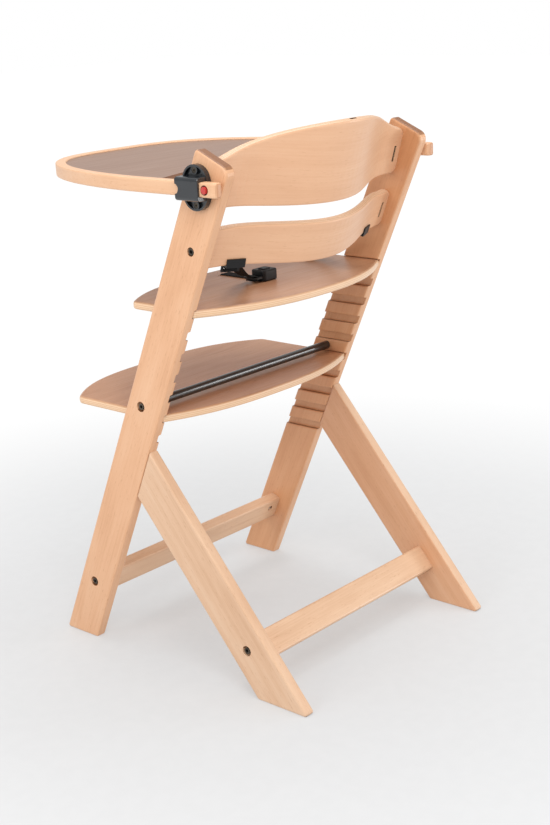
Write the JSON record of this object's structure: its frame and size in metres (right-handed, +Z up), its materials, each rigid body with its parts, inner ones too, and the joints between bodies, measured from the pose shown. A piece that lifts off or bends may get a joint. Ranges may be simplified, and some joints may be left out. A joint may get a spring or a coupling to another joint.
{
  "type": "baby high chair",
  "caption": "Wooden high chair with leaning slotted side frames, movable seat and footrest boards, two bent backrests, a sliding tray and a lap harness.",
  "frame": {"origin": "on the floor, under the middle of the bounding box", "axes": "+Z up, the child faces -Y, +X is the child's left"},
  "size_m": [0.506, 0.5658, 0.8208],
  "materials": {
    "beech": "clear satin lacquer on light beech",
    "plywood_board": "clear satin lacquer on plywood, light striped edges",
    "bent_plywood": "clear satin lacquer on bent plywood",
    "tray_laminate": "grey-brown wood laminate on plywood, satin",
    "black_steel": "black, semi gloss",
    "zinc_steel": "zinc plated",
    "black_plastic": "moulded, glossy",
    "red_plastic": "moulded, satin",
    "black_webbing": "woven polyester webbing"
  },
  "bodies": {
    "frame": {"upright_left": "beech", "upright_right": "beech", "rear_leg_left": "beech", "rear_leg_right": "beech", "leg_dowel_left_1": "beech", "leg_dowel_right_1": "beech", "leg_dowel_left_2": "beech", "leg_dowel_right_2": "beech", "front_crossbar": "beech", "rear_crossbar": "beech", "upper_backrest": "bent_plywood", "lower_backrest": "bent_plywood", "tie_rod": "black_steel", "front_bar_bolt_left": "black_steel", "front_bar_bolt_right": "black_steel", "rear_bar_bolt_left": "black_steel", "rear_bar_bolt_right": "black_steel", "rod_bolt_left": "black_steel", "rod_bolt_right": "black_steel", "lower_back_bolt_left": "black_steel", "lower_back_bolt_right": "black_steel", "upper_back_bolt_left": "black_steel", "upper_back_bolt_right": "black_steel", "bracket_screw_left_lower": "black_steel", "bracket_screw_right_lower": "black_steel", "bracket_screw_left_upper": "black_steel", "bracket_screw_right_upper": "black_steel", "front_bar_nut_left": "zinc_steel", "front_bar_nut_right": "zinc_steel", "rear_bar_nut_left": "zinc_steel", "rear_bar_nut_right": "zinc_steel", "lower_back_nut_left": "zinc_steel", "lower_back_nut_right": "zinc_steel", "upper_back_nut_left": "zinc_steel", "upper_back_nut_right": "zinc_steel", "bracket_left": "black_plastic", "bracket_right": "black_plastic", "strap_clip_left": "black_plastic", "strap_clip_right": "black_plastic", "waist_strap_left": "black_webbing", "waist_strap_right": "black_webbing"},
    "tray": {"tray_frame": "beech", "tray_panel": "tray_laminate", "latch_ring_left": "black_plastic", "latch_ring_right": "black_plastic", "latch_spring_left": "zinc_steel", "latch_spring_right": "zinc_steel"},
    "seat": {"seat_board": "plywood_board", "crotch_strap": "black_webbing", "crotch_strap_keeper": "black_plastic", "buckle_body": "black_plastic", "buckle_tongue_left": "black_plastic", "buckle_tongue_right": "black_plastic"},
    "footrest": {"footrest_board": "plywood_board"},
    "latch_left": {"latch_button_left": "red_plastic"},
    "latch_right": {"latch_button_right": "red_plastic"},
    "buckle_button": {"buckle_release": "black_plastic"}
  },
  "joints": [
    {"name": "tray_slide", "type": "slide", "parent": "frame", "child": "tray", "axis": [0, 1, 0], "range_m": [-0.0035, 0.042]},
    {"name": "latch_button_left_press", "type": "slide", "parent": "tray", "child": "latch_left", "axis": [-1, 0, 0], "range_m": [0, 0.0025], "stiffness_N_per_m": 900, "springref_m": -0.002, "deforming": ["latch_spring_left"]},
    {"name": "latch_button_right_press", "type": "slide", "parent": "tray", "child": "latch_right", "axis": [1, 0, 0], "range_m": [0, 0.0025], "stiffness_N_per_m": 900, "springref_m": -0.002, "deforming": ["latch_spring_right"]},
    {"name": "seat_depth_slide", "type": "slide", "parent": "frame", "child": "seat", "axis": [0, -1, 0], "range_m": [-0.02, 0.04], "deforming": ["waist_strap_left", "waist_strap_right"]},
    {"name": "footrest_depth_slide", "type": "slide", "parent": "frame", "child": "footrest", "axis": [0, -1, 0], "range_m": [-0.02, 0.04]},
    {"name": "buckle_release_press", "type": "slide", "parent": "seat", "child": "buckle_button", "axis": [0, 0, -1], "range_m": [0, 0.0015], "stiffness_N_per_m": 1500, "springref_m": -0.002}
  ]
}
